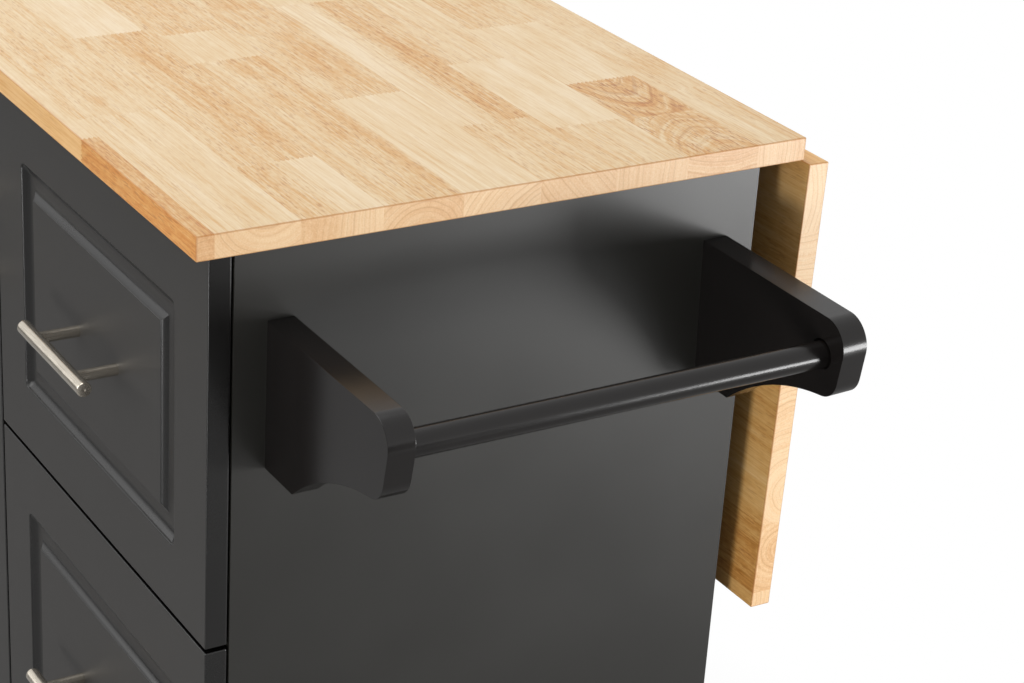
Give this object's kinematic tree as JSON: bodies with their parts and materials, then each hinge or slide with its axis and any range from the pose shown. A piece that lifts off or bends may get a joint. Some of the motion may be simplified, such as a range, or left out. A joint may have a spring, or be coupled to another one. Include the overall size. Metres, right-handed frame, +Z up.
{
  "type": "rolling kitchen island",
  "caption": "Rolling kitchen island in satin black with a wooden butcher-block top, a drop leaf at the back, a drawer column, a cupboard, bar handles and a towel bar.",
  "frame": {"origin": "on the floor, at the centre of the island's outer box", "axes": "+Z up, -Y out of the drawer and door fronts, +X towards the towel bar"},
  "size_m": [0.911, 0.4738, 0.914],
  "materials": {
    "butcher_block": "clear satin lacquer",
    "cabinet_paint": "satin black paint on board",
    "rail_paint": "semi-gloss black paint on solid wood",
    "drawer_board": "clear matt lacquer",
    "brushed_nickel": "brushed satin nickel",
    "zinc_steel": "zinc plated",
    "caster_steel": "pressed and zinc plated",
    "caster_tread": "matt black"
  },
  "bodies": {
    "cabinet": {"worktop": "butcher_block", "side_panel_right": "cabinet_paint", "side_panel_left": "cabinet_paint", "partition": "cabinet_paint", "bottom_panel": "cabinet_paint", "back_panel": "cabinet_paint", "top_rails": "cabinet_paint", "shelf": "cabinet_paint", "shelf_pins": "zinc_steel", "cabinet_runners": "zinc_steel", "towel_bracket_front": "rail_paint", "towel_bracket_rear": "rail_paint", "towel_bracket_screws": "zinc_steel", "leaf_hinge_plates_fixed": "zinc_steel", "leaf_hinge_pins": "zinc_steel", "stay_brackets": "zinc_steel", "stay_rivets": "zinc_steel", "door_hinge_plates_fixed": "zinc_steel", "door_hinge_pins": "zinc_steel", "hardware_screws": "zinc_steel", "caster_plates": "caster_steel", "caster_screws": "zinc_steel"},
    "towel_bar": {"towel_bar": "rail_paint"},
    "drawer_top": {"drawer_top_front": "cabinet_paint", "drawer_top_box": "drawer_board", "drawer_top_bottom": "drawer_board", "drawer_top_runners": "zinc_steel", "drawer_top_handle": "brushed_nickel"},
    "drawer_middle": {"drawer_middle_front": "cabinet_paint", "drawer_middle_box": "drawer_board", "drawer_middle_bottom": "drawer_board", "drawer_middle_runners": "zinc_steel", "drawer_middle_handle": "brushed_nickel"},
    "drawer_lower": {"drawer_lower_front": "cabinet_paint", "drawer_lower_box": "drawer_board", "drawer_lower_bottom": "drawer_board", "drawer_lower_runners": "zinc_steel", "drawer_lower_handle": "brushed_nickel"},
    "door": {"door_panel": "cabinet_paint", "door_handle": "brushed_nickel", "door_hinge_plates_moving": "zinc_steel"},
    "leaf": {"drop_leaf": "butcher_block", "leaf_hinge_plates_moving": "zinc_steel", "leaf_screws": "zinc_steel", "stay_catches": "zinc_steel"},
    "stays": {"stay_struts": "zinc_steel"},
    "caster_front_left_swivel": {"caster_front_left_fork": "caster_steel", "caster_front_left_axle": "zinc_steel"},
    "caster_front_left_wheel": {"caster_front_left_wheel": "caster_tread"},
    "caster_front_left_brake": {"caster_front_left_brake": "zinc_steel"},
    "caster_front_right_swivel": {"caster_front_right_fork": "caster_steel", "caster_front_right_axle": "zinc_steel"},
    "caster_front_right_wheel": {"caster_front_right_wheel": "caster_tread"},
    "caster_front_right_brake": {"caster_front_right_brake": "zinc_steel"},
    "caster_rear_left_swivel": {"caster_rear_left_fork": "caster_steel", "caster_rear_left_axle": "zinc_steel"},
    "caster_rear_left_wheel": {"caster_rear_left_wheel": "caster_tread"},
    "caster_rear_right_swivel": {"caster_rear_right_fork": "caster_steel", "caster_rear_right_axle": "zinc_steel"},
    "caster_rear_right_wheel": {"caster_rear_right_wheel": "caster_tread"}
  },
  "joints": [
    {"name": "towel_bar_turn", "type": "hinge", "parent": "cabinet", "child": "towel_bar", "pos_m": [0.434, 0, 0.821], "axis": [0, 1, 0], "continuous": true},
    {"name": "drawer_top_slide", "type": "slide", "parent": "cabinet", "child": "drawer_top", "axis": [0, -1, 0], "range_m": [0, 0.26]},
    {"name": "drawer_middle_slide", "type": "slide", "parent": "cabinet", "child": "drawer_middle", "axis": [0, -1, 0], "range_m": [0, 0.26]},
    {"name": "drawer_lower_slide", "type": "slide", "parent": "cabinet", "child": "drawer_lower", "axis": [0, -1, 0], "range_m": [0, 0.26]},
    {"name": "door_swing", "type": "hinge", "parent": "cabinet", "child": "door", "pos_m": [-0.4467, -0.18615, 0.4925], "axis": [0, 0, -1], "range_deg": [0, 170]},
    {"name": "leaf_lift", "type": "hinge", "parent": "cabinet", "child": "leaf", "pos_m": [-0.0695, 0.2194, 0.8965], "axis": [1, 0, 0], "range_deg": [0, 91.1]},
    {"name": "stay_swing", "type": "hinge", "parent": "cabinet", "child": "stays", "pos_m": [-0.0695, 0.2036, 0.76446], "axis": [1, 0, 0], "range_deg": [0, 135]},
    {"name": "caster_front_left_swivel_turn", "type": "hinge", "parent": "cabinet", "child": "caster_front_left_swivel", "pos_m": [-0.3985, -0.1404, 0.087], "axis": [0, 0, 1], "continuous": true},
    {"name": "caster_front_left_wheel_roll", "type": "hinge", "parent": "caster_front_left_swivel", "child": "caster_front_left_wheel", "pos_m": [-0.3985, -0.1584, 0.03175], "axis": [1, 0, 0], "continuous": true},
    {"name": "caster_front_left_brake_press", "type": "hinge", "parent": "caster_front_left_swivel", "child": "caster_front_left_brake", "pos_m": [-0.3985, -0.18474, 0.05809], "axis": [1, 0, 0], "range_deg": [0, 15]},
    {"name": "caster_front_right_swivel_turn", "type": "hinge", "parent": "cabinet", "child": "caster_front_right_swivel", "pos_m": [0.2595, -0.1404, 0.087], "axis": [0, 0, 1], "continuous": true},
    {"name": "caster_front_right_wheel_roll", "type": "hinge", "parent": "caster_front_right_swivel", "child": "caster_front_right_wheel", "pos_m": [0.2595, -0.1584, 0.03175], "axis": [1, 0, 0], "continuous": true},
    {"name": "caster_front_right_brake_press", "type": "hinge", "parent": "caster_front_right_swivel", "child": "caster_front_right_brake", "pos_m": [0.2595, -0.18474, 0.05809], "axis": [1, 0, 0], "range_deg": [0, 15]},
    {"name": "caster_rear_left_swivel_turn", "type": "hinge", "parent": "cabinet", "child": "caster_rear_left_swivel", "pos_m": [-0.3985, 0.1476, 0.087], "axis": [0, 0, 1], "continuous": true},
    {"name": "caster_rear_left_wheel_roll", "type": "hinge", "parent": "caster_rear_left_swivel", "child": "caster_rear_left_wheel", "pos_m": [-0.3985, 0.1296, 0.03175], "axis": [1, 0, 0], "continuous": true},
    {"name": "caster_rear_right_swivel_turn", "type": "hinge", "parent": "cabinet", "child": "caster_rear_right_swivel", "pos_m": [0.2595, 0.1476, 0.087], "axis": [0, 0, 1], "continuous": true},
    {"name": "caster_rear_right_wheel_roll", "type": "hinge", "parent": "caster_rear_right_swivel", "child": "caster_rear_right_wheel", "pos_m": [0.2595, 0.1296, 0.03175], "axis": [1, 0, 0], "continuous": true}
  ],
  "couplings": [
    {"joint": "stay_swing", "follows": "leaf_lift", "ratio": 1.4818}
  ]
}
